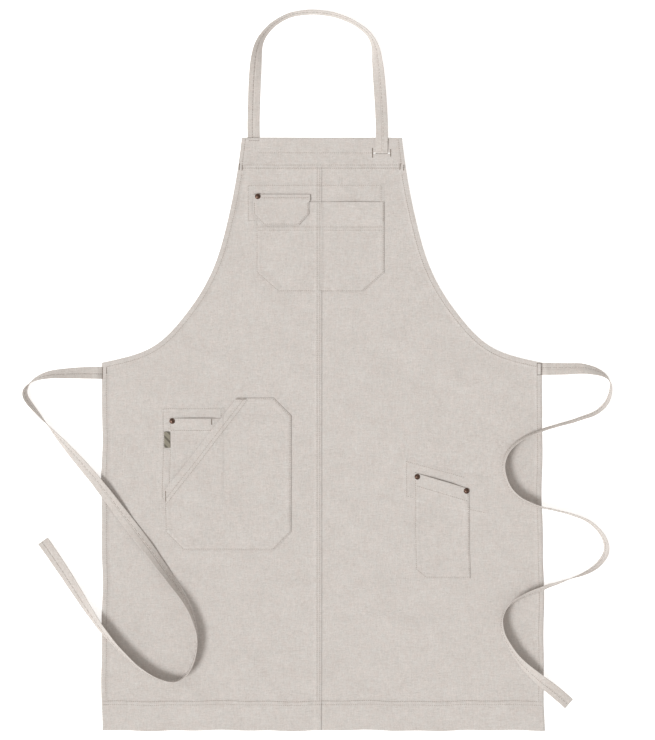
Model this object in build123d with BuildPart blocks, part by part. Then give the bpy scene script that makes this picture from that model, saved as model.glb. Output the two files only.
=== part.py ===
from build123d import *
import os
from math import radians, tan

# Bib apron of plain linen, lying on its back: X across, Y up the apron, Z up from the floor.
# The origin is on the floor under the middle of the apron. Millimetres.

os.makedirs("parts", exist_ok=True)

# ---- Driving dimensions ----
apron_width = 680.0
apron_length = 915.2
bib_width = 247.0  # across the top edge
armhole_depth = 347.6  # from the top edge down to the waist corner
# Corners of the armhole's curve, across and down from the bib corner; arcs round them off.
armhole_corners = [(9.5, -77.6), (44.5, -220.6), (131.5, -328.6)]

cloth = 0.7
tape = 1.2  # ties and neck strap, folded double and pressed
tape_width = 19.0
thread_width = 0.8
thread_rise = 0.3
gap = 0.3  # between pieces that only lie on each other

hem_depth = 45.0
hem_rows = (40.0, 45.6)  # stitch rows above the bottom edge
side_hem = 9.0
facing_width = 8.5
edge_stitch = 7.5
corner_facing = 25.0  # how far the armhole facing runs down past the waist corner
seam_allowance = 9.5
seam_rows = (3.1, 7.3)

band_depth = 45.6
slot_drop = 23.9  # top edge to slot
slot_length = 26.2
slot_x = 92.3
strap_left_x = -104.5
strap_inset = 17.6  # how far the strap's sewn end reaches below the top edge
tail_length = 40.0

rim = 5.0  # turned and stitched edge of a pocket
pocket_rise = 1.0  # room under a pocket's front
backing_margin = 3.0

chest_left, chest_right = -101.7, 96.5
chest_drop = 98.9  # top edge to pocket mouth
chest_height = 139.2
chest_chamfer = (34.0, 30.0)
chest_mouth_rows = (39.0, 44.0)
chest_back_left, chest_back_right = -113.6, 91.5
chest_back_rise, chest_back_height = 25.5, 54.9

flap_left, flap_right = -105.6, -19.9
flap_seam_right = -17.6
flap_hinge_rise = 2.5  # hinge line above the chest pocket's mouth
flap_seam_height = 9.2
flap_drop = 38.9
flap_chamfer = (16.0, 17.0)
flap_stitch = 2.5
flap_seam_layers = 4

hip_left, hip_right = -242.1, -47.3
hip_drop = 53.7  # waist corner to pocket top
hip_height = 235.6
hip_chamfer = 28.0
hip_mouth_run, hip_mouth_fall = 110.2, 142.9
hip_mouth_rows = (10.0, 15.5)
inner_mouth_drop = 31.9  # hip pocket top to inner pocket mouth
inner_mouth_row = 18.8
hip_back_left, hip_back_right = -245.4, -156.0
hip_back_drop, hip_back_height = 17.3, 138.0

tool_left, tool_right = 143.2, 227.5
tool_drop = 169.2  # waist corner to the mouth's left end
tool_slant = 25.1
tool_height = 163.4
tool_chamfer = (16.0, 13.0)
tool_mouth_row = 19.0
tool_back_left, tool_back_right = 130.9, 251.0

rivet_radius, rivet_crown, rivet_edge = 4.4, 1.7, 0.5
post_radius = 1.5
back_radius, back_height = 4.0, 0.7

label_size = (9.6, 24.8)
label_overhang = 7.6
label_drop = 20.8  # inner pocket mouth to label top
label_height = 0.5

tie_drop_left, tie_drop_right = 15.7, 9.2  # waist corner to tie centre
tie_root = 9.0  # length of tie under the hem

# ---- Heights and places that follow from them ----
half_width, half_bib = apron_width / 2, bib_width / 2
top_y, hem_y = apron_length / 2, -apron_length / 2
waist_y = top_y - armhole_depth
band_y = top_y - band_depth
facing_low_y = waist_y - corner_facing
slot_y = top_y - slot_drop

sheet_z = 3 * cloth
top_z = sheet_z + cloth
facing_z = sheet_z - cloth
backing_z = back_height
band_top_z = top_z + cloth
pocket_z = top_z + pocket_rise
pocket_top_z = pocket_z + cloth
inner_z = top_z + cloth
inner_top_z = inner_z + cloth
hip_z = inner_top_z + gap
hip_top_z = hip_z + cloth
leaf_z = pocket_top_z + thread_rise + gap
leaf_top_z = leaf_z + 2 * cloth

chest_y = top_y - chest_drop
hinge_y = chest_y + flap_hinge_rise
hip_y = waist_y - hip_drop
inner_y = hip_y - inner_mouth_drop
tool_y = waist_y - tool_drop


def rect_corners(left, right, low, high, chamfer):
    """Corners of a pocket, clockwise from its mouth, with both bottom corners cut."""
    run, rise = chamfer
    return [
        (left, high), (right, high), (right, low + rise), (right - run, low),
        (left + run, low), (left, low + rise),
    ]


chest_corners = rect_corners(chest_left, chest_right, chest_y - chest_height, chest_y, chest_chamfer)
chest_backing_corners = rect_corners(
    chest_back_left - backing_margin, chest_back_right + backing_margin,
    chest_y + chest_back_rise - chest_back_height - backing_margin,
    chest_y + chest_back_rise + backing_margin, (backing_margin, backing_margin),
)
flap_corners = rect_corners(flap_left, flap_right, hinge_y - flap_drop, hinge_y - gap, flap_chamfer)

hip_low = hip_y - hip_height
hip_frame = [
    (hip_left, hip_y), (hip_right - hip_chamfer, hip_y), (hip_right, hip_y - hip_chamfer),
    (hip_right, hip_low + hip_chamfer), (hip_right - hip_chamfer, hip_low),
    (hip_left + hip_chamfer, hip_low), (hip_left, hip_low + hip_chamfer),
]
hip_corners = [
    (hip_left, hip_y - hip_mouth_fall), (hip_left + hip_mouth_run, hip_y), *hip_frame[1:],
]
hip_backing_corners = rect_corners(
    hip_back_left - backing_margin, hip_back_right,
    hip_y - hip_back_drop - hip_back_height, hip_y - hip_back_drop + backing_margin,
    (backing_margin, backing_margin),
)

tool_fall = tool_slant / (tool_right - tool_left)  # slope of the slanted mouth
tool_corners = [
    (tool_left, tool_y), (tool_right, tool_y - tool_slant), (tool_right, tool_y - tool_height),
    (tool_left + tool_chamfer[0], tool_y - tool_height),
    (tool_left, tool_y - tool_height + tool_chamfer[1]),
]
tool_backing_corners = [
    (tool_back_left, tool_y + 16.7), (tool_right - 6.5, tool_y - 7.8), (tool_back_right, tool_y - 9.8),
    (tool_back_right, tool_y - 62.0), (tool_back_left, tool_y - 36.7),
]

flap_rivet = (flap_left + 6.8, hinge_y + 5.5)
inner_rivet = (hip_left + rim + gap + 0.6 + 5.2, inner_y - 4.3)
tool_rivet_left = (tool_left + 4.3, tool_y - 6.7)
tool_rivet_right = (tool_right - 4.1, tool_y - tool_slant - 3.4)
left_rivets = [flap_rivet, inner_rivet]
right_rivets = [tool_rivet_left, tool_rivet_right]
rivet_seats = [
    (*flap_rivet, leaf_top_z), (*inner_rivet, inner_top_z),
    (*tool_rivet_left, pocket_top_z), (*tool_rivet_right, pocket_top_z),
]


# ---- Sketches that several pieces share ----
def arc_radius(before, corner, after):
    """Radius of the largest smooth arc that two runs leave room for at their corner."""
    turn = (corner - before).get_angle(after - corner)
    shorter = min((corner - before).length, (after - corner).length)
    return 0.45 * shorter / tan(radians(turn / 2))


def area(left, right, low, high):
    """A plain rectangle from its four sides."""
    with BuildSketch() as sketch:
        with Locations(((left + right) / 2, (low + high) / 2)):
            Rectangle(right - left, high - low)
    return sketch.sketch


def silhouette(inset, low, high):
    """The apron between two heights, its sides and armholes drawn in by inset."""
    corner = Vector(half_bib, top_y)
    bends = [corner + Vector(*bend) for bend in armhole_corners]
    above = corner - (bends[0] - corner).normalized() * hem_depth
    spots = [above, *bends, Vector(half_width, waist_y)]
    radii = [arc_radius(*three) for three in zip(spots, spots[1:], spots[2:])]
    with BuildSketch() as sketch:
        with BuildLine():
            FilletPolyline(*spots, radius=radii)
            Polyline(spots[-1], (half_width, hem_y - hem_depth), (0, hem_y - hem_depth))
            Line(above, (0, above.Y))
            mirror(about=Plane.YZ)
        make_face()
        if inset > 0:
            offset(amount=-inset, kind=Kind.INTERSECTION)
        add(area(-apron_width, apron_width, low, high), mode=Mode.INTERSECT)
    return sketch.sketch


def edge_strip(near, far, low, high):
    """A strip along both sides and armholes, from near to far inside the edge."""
    with BuildSketch() as sketch:
        add(silhouette(near, low, high))
        add(silhouette(far, low, high), mode=Mode.SUBTRACT)
    return sketch.sketch


def patch(corners, inset=0.0):
    """A cut piece of cloth, drawn in by inset all round."""
    with BuildSketch() as sketch:
        with BuildLine():
            Polyline(*corners, close=True)
        make_face()
        if inset:
            offset(amount=-inset, kind=Kind.INTERSECTION)
    return sketch.sketch


def mouth_strip(corners, near, far):
    """A strip along a patch's first edge, from near to far inside it, past both ends."""
    start, end = Vector(*corners[0]), Vector(*corners[1])
    along = (end - start).normalized()
    inward = along.rotate(Axis.Z, -90)
    run_on = along * apron_length
    with BuildSketch() as sketch:
        with BuildLine():
            Polyline(
                start + inward * near - run_on, end + inward * near + run_on,
                end + inward * far + run_on, start + inward * far - run_on, close=True,
            )
        make_face()
    return sketch.sketch


def stitch_ring(corners, inset):
    """One row of stitching all round a patch."""
    with BuildSketch() as sketch:
        add(patch(corners, inset - thread_width / 2))
        add(patch(corners, inset + thread_width / 2), mode=Mode.SUBTRACT)
    return sketch.sketch


def pocket_rows(corners, inset, mouth_rows):
    """Stitching round a pocket's sewn edges and along its mouth hem."""
    with BuildSketch() as sketch:
        add(stitch_ring(corners, inset))
        add(mouth_strip(corners, -thread_width, inset + thread_width), mode=Mode.SUBTRACT)
        for row in mouth_rows:
            with BuildSketch(mode=Mode.PRIVATE) as line:
                add(mouth_strip(corners, row - thread_width / 2, row + thread_width / 2))
                add(patch(corners, inset), mode=Mode.INTERSECT)
            add(line.sketch)
    return sketch.sketch


def finish(piece, name):
    """Names a finished piece and writes it."""
    piece.part.label = name
    export_step(piece.part, f"parts/{name}.step")


# ---- Body panels, one cut piece each with its hems folded under ----
for side, name, rivets, tie_drop in (
    (-1, "left_panel", left_rivets, tie_drop_left),
    (1, "right_panel", right_rivets, tie_drop_right),
):
    half = area(*sorted((0, side * apron_width)), -apron_length, apron_length)
    with BuildPart() as panel:
        with BuildSketch(Plane.XY.offset(sheet_z)):
            add(silhouette(0, hem_y, top_y))
            add(half, mode=Mode.INTERSECT)
        extrude(amount=cloth)
        with BuildSketch(Plane.XY):
            add(silhouette(0, hem_y, hem_y + hem_depth))
            add(edge_strip(0, side_hem, hem_y, facing_low_y))
            add(half, mode=Mode.INTERSECT)
        extrude(amount=sheet_z)
        if side > 0:
            # The felled seam allowance, folded behind the left panel.
            with BuildSketch(Plane.XY.offset(facing_z)):
                add(area(-seam_allowance, rim, hem_y + hem_depth, band_y - gap))
            extrude(amount=cloth)
        with BuildSketch(Plane.XY.offset(sheet_z)):
            with Locations((slot_x, slot_y)):
                Rectangle(slot_length, tape + 2 * gap)
        extrude(amount=cloth, mode=Mode.SUBTRACT)
        with BuildSketch(Plane.XY):
            with Locations((side * (half_width - tie_root / 2), waist_y - tie_drop)):
                Rectangle(tie_root + 2 * gap, tape_width + 2 * gap)
        extrude(amount=tape + 2 * gap, mode=Mode.SUBTRACT)
        with Locations(*[(x, y, top_z) for x, y in rivets]):
            Hole(post_radius)
    finish(panel, name)

# ---- Bib band and the facings behind the edges ----
with BuildPart() as bib_band:
    with BuildSketch(Plane.XY.offset(top_z)):
        add(silhouette(0, band_y, top_y))
        with Locations((slot_x, slot_y)):
            Rectangle(slot_length, tape + 2 * gap, mode=Mode.SUBTRACT)
    extrude(amount=cloth)
finish(bib_band, "bib_band")

with BuildPart() as bib_facing:
    with BuildSketch(Plane.XY.offset(facing_z)):
        add(silhouette(facing_width + gap, band_y, top_y))
        with Locations((slot_x, slot_y)):
            Rectangle(slot_length, tape + 2 * gap, mode=Mode.SUBTRACT)
    extrude(amount=cloth)
finish(bib_facing, "bib_facing")

for side, name, tie_drop in (
    (-1, "left_armhole_facing", tie_drop_left),
    (1, "right_armhole_facing", tie_drop_right),
):
    with BuildPart() as facing:
        with BuildSketch(Plane.XY):
            add(edge_strip(0, facing_width, facing_low_y, top_y))
            add(area(*sorted((0, side * apron_width)), -apron_length, apron_length), mode=Mode.INTERSECT)
        extrude(amount=sheet_z)
        with BuildSketch(Plane.XY):
            with Locations((side * (half_width - tie_root / 2), waist_y - tie_drop)):
                Rectangle(tie_root + 2 * gap, tape_width + 2 * gap)
        extrude(amount=tape + 2 * gap, mode=Mode.SUBTRACT)
    finish(facing, name)

# ---- Reinforcing patches behind the pockets ----
backings = {
    "chest_pocket_backing": (chest_backing_corners, [flap_rivet]),
    "hip_pocket_backing": (hip_backing_corners, [inner_rivet]),
    "tool_pocket_backing": (patch(tool_backing_corners, -backing_margin), right_rivets),
}
for name, (shape, rivets) in backings.items():
    with BuildPart() as backing:
        with BuildSketch(Plane.XY.offset(backing_z)):
            add(shape if isinstance(shape, Sketch) else patch(shape))
        extrude(amount=sheet_z - backing_z)
        with BuildSketch(Plane.XY.offset(facing_z)):
            add(area(-seam_allowance - gap, rim + gap, -apron_length, apron_length))
        extrude(amount=cloth, mode=Mode.SUBTRACT)
        with Locations(*[(x, y, sheet_z) for x, y in rivets]):
            Hole(post_radius)
    finish(backing, name)


# ---- Pockets: a front sheet held off the apron by its turned, sewn edges ----
def pocket(corners, under_z, front_z, hem, rivets, rib=None):
    """A patch pocket, open along its first edge, and caught down along a rib if it has one."""
    with BuildPart() as shell:
        with BuildSketch(Plane.XY.offset(under_z)):
            add(patch(corners))
            add(patch(corners, rim), mode=Mode.SUBTRACT)
            add(mouth_strip(corners, -rim, rim), mode=Mode.SUBTRACT)
            if rib:
                add(rib)
        extrude(amount=front_z - under_z)
        with BuildSketch(Plane.XY.offset(front_z)):
            add(patch(corners))
        extrude(amount=cloth)
        with BuildSketch(Plane.XY.offset(front_z - gap)):
            add(patch(corners))
            add(mouth_strip(corners, 0, hem), mode=Mode.INTERSECT)
        extrude(amount=gap)
        if rivets:
            with Locations(*[(x, y, front_z) for x, y in rivets]):
                Hole(post_radius)
    return shell


# The chest pocket's front is caught down along the apron's centre seam, which parts it in two.
chest_rib = area(-seam_allowance, 0, chest_y - chest_height + gap, chest_y)
chest_pocket = pocket(chest_corners, top_z, pocket_z, chest_mouth_rows[1], [], chest_rib)
finish(chest_pocket, "chest_pocket")

hip_pocket = pocket(hip_corners, top_z, hip_z, hip_mouth_rows[1], [])
finish(hip_pocket, "hip_pocket")

tool_pocket = pocket(tool_corners, top_z, pocket_z, tool_mouth_row, right_rivets)
finish(tool_pocket, "tool_pocket")

# The inner pocket fills the hip pocket's frame, inside its stitched edge, up to its own level mouth.
inner_low, inner_left = hip_low + rim + 3 * gap, hip_left + rim + 3 * gap
inner_right, inner_cut = hip_right - rim - 3 * gap, hip_chamfer - 0.4 * rim
inner_corners = [
    (inner_left, inner_y), (inner_right, inner_y), (inner_right, inner_low + inner_cut),
    (inner_right - inner_cut, inner_low), (inner_left + inner_cut, inner_low),
    (inner_left, inner_low + inner_cut),
]
inner_pocket = pocket(inner_corners, top_z, inner_z, inner_mouth_row, [inner_rivet])
finish(inner_pocket, "inner_pocket")

with BuildPart() as label:
    with BuildSketch(Plane.XY.offset(inner_top_z)):
        add(area(
            inner_left - label_overhang, inner_left - label_overhang + label_size[0],
            inner_y - label_drop - label_size[1], inner_y - label_drop,
        ))
    extrude(amount=label_height)
finish(label, "label")

# ---- Pocket flap: its seam is sewn down, its leaf lifts about the fold ----
with BuildPart() as flap_seam:
    with BuildSketch(Plane.XY.offset(top_z)):
        add(area(flap_left, flap_seam_right, hinge_y, hinge_y + flap_seam_height))
    extrude(amount=leaf_top_z - top_z)
    with Locations((*flap_rivet, leaf_top_z)):
        Hole(post_radius)
finish(flap_seam, "flap_seam")

with BuildPart() as pocket_flap:
    with BuildSketch(Plane.XY.offset(leaf_z)):
        add(patch(flap_corners))
    extrude(amount=leaf_top_z - leaf_z)
finish(pocket_flap, "pocket_flap")

# ---- Rivets: domed cap, post through every layer, flat back ----
with BuildPart() as rivet_caps:
    for x, y, z in rivet_seats:
        with BuildSketch(Plane(origin=(x, y, z), x_dir=(1, 0, 0), z_dir=(0, -1, 0))):
            with BuildLine():
                Polyline((0, 0), (rivet_radius, 0), (rivet_radius, rivet_edge))
                Bezier(
                    (rivet_radius, rivet_edge), (rivet_radius, rivet_crown), (0, rivet_crown),
                )
                Line((0, rivet_crown), (0, 0))
            make_face()
        revolve(axis=Axis((x, y, z), (0, 0, 1)))
finish(rivet_caps, "rivet_caps")

with BuildPart() as rivet_posts:
    for x, y, z in rivet_seats:
        with BuildSketch(Plane.XY.offset(back_height)):
            with Locations((x, y)):
                Circle(post_radius)
        extrude(amount=z - back_height)
finish(rivet_posts, "rivet_posts")

with BuildPart() as rivet_backs:
    with BuildSketch(Plane.XY):
        with Locations(*left_rivets, *right_rivets):
            Circle(back_radius)
    extrude(amount=back_height)
finish(rivet_backs, "rivet_backs")


# ---- Stitching, a fine raised bead on the cloth it holds ----
def bead(name, shape, height):
    """One thread node: a sketch raised by the thread's thickness at a height."""
    with BuildPart() as rows:
        with BuildSketch(Plane.XY.offset(height)):
            add(shape)
        extrude(amount=thread_rise)
    finish(rows, name)


half_thread = thread_width / 2
hem_row_ys = [hem_y + row for row in hem_rows]

with BuildSketch() as chest_backing_rows:
    add(stitch_ring(chest_backing_corners, backing_margin))
    add(patch(chest_corners, -gap), mode=Mode.SUBTRACT)
bead("chest_backing_thread", chest_backing_rows.sketch, top_z)

with BuildSketch() as hip_backing_rows:
    add(stitch_ring(hip_backing_corners, backing_margin))
    add(patch(hip_frame, -gap), mode=Mode.SUBTRACT)
    add(area(hip_left, -half_bib, -apron_length, inner_y + gap), mode=Mode.SUBTRACT)
    with BuildSketch(mode=Mode.PRIVATE) as above_mouth:
        add(stitch_ring(hip_backing_corners, backing_margin))
        add(area(hip_left + gap, hip_back_right, inner_y + gap, hip_y), mode=Mode.INTERSECT)
        add(patch(hip_corners, -gap), mode=Mode.SUBTRACT)
    add(above_mouth.sketch)
bead("hip_backing_thread", hip_backing_rows.sketch, top_z)

with BuildSketch() as tool_backing_rows:
    add(patch(tool_backing_corners, -half_thread))
    add(patch(tool_backing_corners, half_thread), mode=Mode.SUBTRACT)
    add(patch(tool_corners, -gap), mode=Mode.SUBTRACT)
bead("tool_backing_thread", tool_backing_rows.sketch, top_z)

with BuildSketch() as seam_lines:
    for row in seam_rows:
        add(area(-row - half_thread, -row + half_thread, hem_row_ys[1] + 1, band_y - 3))
    add(patch(chest_corners, -gap), mode=Mode.SUBTRACT)
    add(patch(chest_backing_corners, backing_margin - 1), mode=Mode.SUBTRACT)
bead("centre_seam_thread", seam_lines.sketch, top_z)

with BuildSketch() as hem_lines:
    for y in hem_row_ys:
        add(area(side_hem - half_width + 4, half_width - side_hem, y - half_thread, y + half_thread))
bead("bottom_hem_thread", hem_lines.sketch, top_z)

with BuildSketch() as hem_tacks:
    for y in hem_row_ys:
        add(area(2 - half_width, side_hem - half_width + 3, y - half_thread, y + half_thread))
bead("hem_bar_tacks", hem_tacks.sketch, top_z)

edge_rows = edge_strip(edge_stitch - half_thread, edge_stitch + half_thread, hem_row_ys[1] + 1, band_y - 3)
bead("edge_thread", edge_rows, top_z)

with BuildSketch() as band_rows:
    add(area(-half_bib, half_bib, band_y + 3, band_y + 3 + thread_width))
    add(edge_strip(edge_stitch - 1.4, edge_stitch - 0.6, band_y + 3, top_y - 2))
    add(area(strap_left_x + 6.4, slot_x - slot_length / 2 - 2, slot_y, slot_y + thread_width))
    add(silhouette(edge_stitch - 1.4, band_y, top_y), mode=Mode.INTERSECT)
bead("bib_band_thread", band_rows.sketch, band_top_z)

with BuildSketch() as band_seam_row:
    add(area(-half_bib, half_bib, band_y - 2, band_y - 2 + thread_width))
bead("band_seam_thread", band_seam_row.sketch, top_z)

with BuildSketch() as slot_bars:
    for end in (-1, 1):
        with Locations((slot_x + end * (slot_length / 2 + 0.9), slot_y)):
            Rectangle(1.4, 16)
bead("slot_bar_tacks", slot_bars.sketch, band_top_z)

with BuildSketch() as strap_anchor_row:
    with Locations((strap_left_x, top_y - 4.6)):
        Rectangle(tape_width - 2, 1.4)
bead("strap_anchor_thread", strap_anchor_row.sketch, band_top_z)

with BuildSketch() as tie_boxes:
    for side, tie_drop in ((-1, tie_drop_left), (1, tie_drop_right)):
        with Locations((side * (half_width - 3.9), waist_y - tie_drop - 1.5)):
            Rectangle(5.2, tape_width - 2)
            Rectangle(5.2 - 2 * thread_width, tape_width - 2 - 2 * thread_width, mode=Mode.SUBTRACT)
bead("tie_anchor_thread", tie_boxes.sketch, top_z)

with BuildSketch() as chest_rows:
    add(pocket_rows(chest_corners, 2.5, chest_mouth_rows))
    for row in seam_rows:
        add(area(-row - half_thread, -row + half_thread, chest_y - chest_height + 2.5, chest_y - 2.5))
bead("chest_pocket_thread", chest_rows.sketch, pocket_top_z)
bead("hip_pocket_thread", pocket_rows(hip_corners, 2.5, hip_mouth_rows), hip_top_z)

with BuildSketch() as tool_rows:
    add(pocket_rows(tool_corners, 2.5, [tool_mouth_row]))
    with Locations(*right_rivets):
        Circle(rivet_radius + gap, mode=Mode.SUBTRACT)
bead("tool_pocket_thread", tool_rows.sketch, pocket_top_z)

with BuildSketch() as inner_rows:
    add(pocket_rows(inner_corners, 2.5, [inner_mouth_row]))
    add(patch(hip_corners, -gap), mode=Mode.SUBTRACT)
    add(area(inner_left - label_overhang, inner_left + label_size[0] - label_overhang + gap,
             inner_y - label_drop - label_size[1] - gap, inner_y - label_drop + gap), mode=Mode.SUBTRACT)
    with Locations(inner_rivet):
        Circle(rivet_radius + gap, mode=Mode.SUBTRACT)
bead("inner_pocket_thread", inner_rows.sketch, inner_top_z)

with BuildSketch() as flap_rows:
    add(stitch_ring(flap_corners, flap_stitch))
    add(mouth_strip(flap_corners, -1, flap_stitch + thread_width), mode=Mode.SUBTRACT)
bead("flap_thread", flap_rows.sketch, leaf_top_z)

with BuildSketch() as flap_seam_row:
    add(area(flap_rivet[0] + rivet_radius + 1, flap_seam_right - flap_stitch,
             hinge_y + 3.3, hinge_y + 3.3 + thread_width))
bead("flap_seam_thread", flap_seam_row.sketch, leaf_top_z)

# ---- Neck strap's tail: through the slot, then down behind the bib ----
tail_y = slot_y - tape / 2
strap_front_z = band_top_z + gap
with BuildPart() as strap_tail:
    with BuildSketch(Plane.YZ.offset(slot_x - tape_width / 2)):
        with BuildLine():
            Polyline(
                (tail_y, 0.1), (tail_y - tail_length, 0.1), (tail_y - tail_length, 0.1 + tape),
                (tail_y, 0.1 + tape), (tail_y, strap_front_z + tape),
                (tail_y + tape + 2, strap_front_z + tape), (tail_y + tape + 2, strap_front_z),
                (tail_y + tape, strap_front_z), (tail_y + tape, 0.1), close=True,
            )
        make_face()
    extrude(amount=tape_width)
finish(strap_tail, "strap_tail")

# ---- Cords: the neck strap and both waist ties, folded tape laid loose ----
strap_points = [
    (strap_left_x, 440, 0.7), (-106, 468, 0.7), (-105, 512, 1.5), (-103, 564, 4.5), (-97, 614, 9),
    (-60, 649, 9.5), (-9, 656, 9.5), (41, 645, 9.5), (81, 615, 9), (87, 564, 6), (91, 512, 5.5),
    (93, 468, 7.2), (slot_x, tail_y + tape + 2, strap_front_z + tape / 2),
]
left_tie_points = [
    (-331.5, 94.3, 0.7), (-375, 95, 0.7), (-438, 91, 4), (-464, 65, 9), (-440, 34, 9.5), (-408, -3, 8),
    (-374, -42, 7), (-340, -82, 8), (-305, -129, 6), (-269, -174, 5), (-235, -221, 6), (-202, -267, 9),
    (-187, -326, 12.5), (-213, -386, 13), (-267, -374, 12.5), (-314, -331, 11), (-350, -287, 8),
    (-382, -237, 3), (-411, -193, 1.2), (-431, -165, 0.8),
]
right_tie_points = [
    (331.5, 100.8, 0.7), (367, 100, 0.7), (412, 102, 3), (450, 85, 8.5), (438, 38, 9.5), (388, 20, 9.5),
    (349, 10, 10.5), (301, -8, 12.5), (275, -42, 13), (289, -89, 13), (328, -111, 12.5),
    (371, -119, 10.5), (419, -135, 9.5), (445, -175, 9.5), (422, -209, 9.5), (372, -227, 10),
    (332, -240, 12), (286, -261, 13), (273, -297, 13), (298, -343, 11.5), (331, -375, 8),
    (363, -400, 3), (382, -417, 0.8),
]

for name, points in (
    ("neck_strap", strap_points),
    ("left_tie", left_tie_points),
    ("right_tie", right_tie_points),
):
    spots = [Vector(*point) for point in points]
    radii = [arc_radius(*three) for three in zip(spots, spots[1:], spots[2:])]
    with BuildPart() as cord:
        with BuildLine() as route:
            FilletPolyline(*spots, radius=radii)
        path = route.wire()
        ahead = path % 0
        with BuildSketch(Plane(origin=path @ 0, x_dir=ahead.cross(Vector(0, 0, 1)), z_dir=ahead)):
            Rectangle(tape_width, tape)
        sweep(path=path, binormal=path.moved(Location((0, 0, tape_width))))
    finish(cord, name)
    share = cord.part.volume / (tape_width * tape * path.length)
    print(name, "length", round(path.length), "volume over section times length", round(share, 4))
    print("  radii", [round(radius) for radius in radii])
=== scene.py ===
from math import ceil, cos, pi, radians, sin

import bpy
import numpy as np
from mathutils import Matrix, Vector
from mathutils.geometry import delaunay_2d_cdt


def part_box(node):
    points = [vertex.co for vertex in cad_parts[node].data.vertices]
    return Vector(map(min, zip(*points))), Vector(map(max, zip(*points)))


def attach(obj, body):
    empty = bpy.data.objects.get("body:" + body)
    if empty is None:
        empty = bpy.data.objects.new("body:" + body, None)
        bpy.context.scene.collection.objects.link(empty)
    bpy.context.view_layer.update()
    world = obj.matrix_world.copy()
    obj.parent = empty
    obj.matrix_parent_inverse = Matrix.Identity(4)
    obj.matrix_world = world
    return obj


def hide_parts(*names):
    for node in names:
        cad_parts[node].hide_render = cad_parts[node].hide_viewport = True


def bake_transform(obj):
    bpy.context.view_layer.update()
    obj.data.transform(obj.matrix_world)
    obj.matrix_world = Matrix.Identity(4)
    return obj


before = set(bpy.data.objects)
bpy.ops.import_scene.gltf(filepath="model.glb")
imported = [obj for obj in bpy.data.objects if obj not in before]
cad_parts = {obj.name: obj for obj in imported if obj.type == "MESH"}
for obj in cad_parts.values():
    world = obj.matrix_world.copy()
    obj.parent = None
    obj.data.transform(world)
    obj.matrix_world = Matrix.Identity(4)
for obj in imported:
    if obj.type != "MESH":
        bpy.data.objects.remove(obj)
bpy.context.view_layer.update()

# A linen bib apron lying on its back, seen from straight above. Objects are in metres. Cloth is
# worked out in millimetres and scaled by MM as its mesh is made.
MM = 0.001
BODY, FLAP_BODY = "apron", "flap"

# ---- Camera ----
VIEW_CENTRE = (0.0088, 0.0989)
VIEW_HEIGHT = 1.144
LENS, SENSOR = 100.0, 36.0

camera_data = bpy.data.cameras.new("camera")
camera_data.lens = LENS
camera_data.sensor_width = SENSOR
camera = bpy.data.objects.new("camera", camera_data)
camera.location = (*VIEW_CENTRE, VIEW_HEIGHT * LENS / SENSOR)
bpy.context.scene.collection.objects.link(camera)
bpy.context.scene.camera = camera
bpy.context.scene.view_settings.view_transform = "Standard"


# ---- Places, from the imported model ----
def extents(node):
    """Left, low, bottom, right, high and top of a CAD node, in millimetres."""
    low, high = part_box(node)
    return [value / MM for value in (*low, *high)]


def side_line():
    """The apron's right armhole and side, from the waist corner up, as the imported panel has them."""
    ys = {}
    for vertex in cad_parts["right_panel"].data.vertices:
        x, y = vertex.co.x / MM, round(vertex.co.y / MM, 1)
        if y > waist_y - 0.2 and x > half_bib - 1:
            ys[y] = max(x, ys.get(y, 0))
    return eased([(ys[y], y) for y in sorted(ys)])


def eased(line, pitch=9.0, reach=3):
    """A line of straight runs as an even curve between the same two ends."""
    spots = np.array(line, float)
    far = np.concatenate([[0], np.cumsum(np.linalg.norm(np.diff(spots, axis=0), axis=1))])
    places = np.linspace(0, far[-1], int(far[-1] / pitch))
    even = np.stack([np.interp(places, far, spots[:, axis]) for axis in (0, 1)], axis=1)
    curve = []
    for i in range(len(even)):
        near = min(reach, i, len(even) - 1 - i)
        curve.append(tuple(even[i - near:i + near + 1].mean(axis=0)))
    return curve


_, hem_y, _, half_width, top_y, _ = extents("right_panel")
band_y = extents("bib_band")[1]
half_bib, waist_y = 123.5, 110.0  # where the armhole ends: above, and at the waist corner
armhole = side_line()
facing_low_y = extents("right_armhole_facing")[1]

# Thicknesses and widths of cloth, and where its rows of stitching run.
CLOTH = 0.7
SHEET = 2.1  # underside of the body cloth, which lies on its own hems
TOP = SHEET + CLOTH
SIDE_HEM, BOTTOM_HEM, FACING = 9.0, 45.0, 8.5
HEM_ROWS = (hem_y + 40.0, hem_y + 45.6)
EDGE_ROW = 7.5  # from the apron's edge
SEAM_ROWS = (3.1, 7.3)  # left of the middle
BAND_ROW, BAND_SEAM = band_y + 3.4, band_y - 1.6
RIM_ROW = 1.7  # from a pocket's edge
TURNING = 7.5  # cloth turned under a pocket's edge
HEM_MARGIN = 1.6  # from a pocket's last row to the end of its hem

# Pockets, flap, label and slot. A cut is how far a corner is cut off: across and up, or one value
# for both. A pocket's rows of stitching are measured from its mouth.
chest_left, chest_low, _, chest_right, chest_y, _ = extents("chest_pocket")
CHEST_CUT = (34.0, 30.0)
CHEST_ROWS = (39.0, 44.0)
flap_left, flap_low, _, flap_right, hinge_y, _ = extents("pocket_flap")
_, _, _, seam_right, seam_high, flap_z = extents("flap_seam")
FLAP_CUT = (16.0, 17.0)
hip_left, hip_low, _, hip_right, hip_y, _ = extents("hip_pocket")
HIP_CUT, HIP_RUN, HIP_FALL = 28.0, 110.2, 142.9  # its mouth slants by the run and the fall
HIP_ROWS = (10.0, 15.5)
inner_left, inner_low, _, inner_right, inner_y, _ = extents("inner_pocket")
INNER_CUT, INNER_ROW = 26.0, 18.8
tool_left, tool_low, _, tool_right, tool_y, _ = extents("tool_pocket")
TOOL_CUT, TOOL_SLANT, TOOL_ROW = (16.0, 13.0), 25.1, 19.0
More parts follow.
